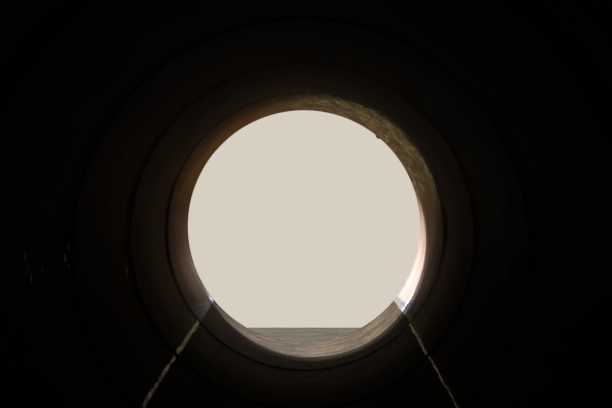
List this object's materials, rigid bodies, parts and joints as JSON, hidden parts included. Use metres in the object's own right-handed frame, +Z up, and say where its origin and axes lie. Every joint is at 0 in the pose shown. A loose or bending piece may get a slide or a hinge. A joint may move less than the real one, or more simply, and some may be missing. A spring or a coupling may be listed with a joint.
{
  "type": "pipe culvert with headwall",
  "caption": "Outlet end of a precast concrete pipe culvert: a row of socketed pipes with a plain headwall, splayed wing walls and an apron.",
  "frame": {"origin": "on the ground, under the barrel's axis, at the middle of the headwall's thickness", "axes": "+Z up; +Y along the barrel, downstream, out of the headwall; +X to the right for someone looking downstream through the pipes"},
  "size_m": [5.9462, 17.1517, 2.5],
  "materials": {
    "pipe_concrete": "matte",
    "wall_concrete": "matte",
    "coping_concrete": "matte",
    "apron_concrete": "matte",
    "mortar": "matte",
    "joint_rubber": "matte"
  },
  "bodies": {
    "root": {"pipe_1": "pipe_concrete", "pipe_2": "pipe_concrete", "pipe_3": "pipe_concrete", "pipe_4": "pipe_concrete", "pipe_5": "pipe_concrete", "pipe_6": "pipe_concrete", "joint_ring_1": "joint_rubber", "joint_ring_2": "joint_rubber", "joint_ring_3": "joint_rubber", "joint_ring_4": "joint_rubber", "joint_ring_5": "joint_rubber", "headwall": "wall_concrete", "headwall_coping": "coping_concrete", "outlet_collar": "mortar", "wing_wall_left": "wall_concrete", "wing_wall_right": "wall_concrete", "wing_coping_left": "coping_concrete", "wing_coping_right": "coping_concrete", "apron": "apron_concrete", "apron_toe": "apron_concrete"}
  },
  "joints": []
}
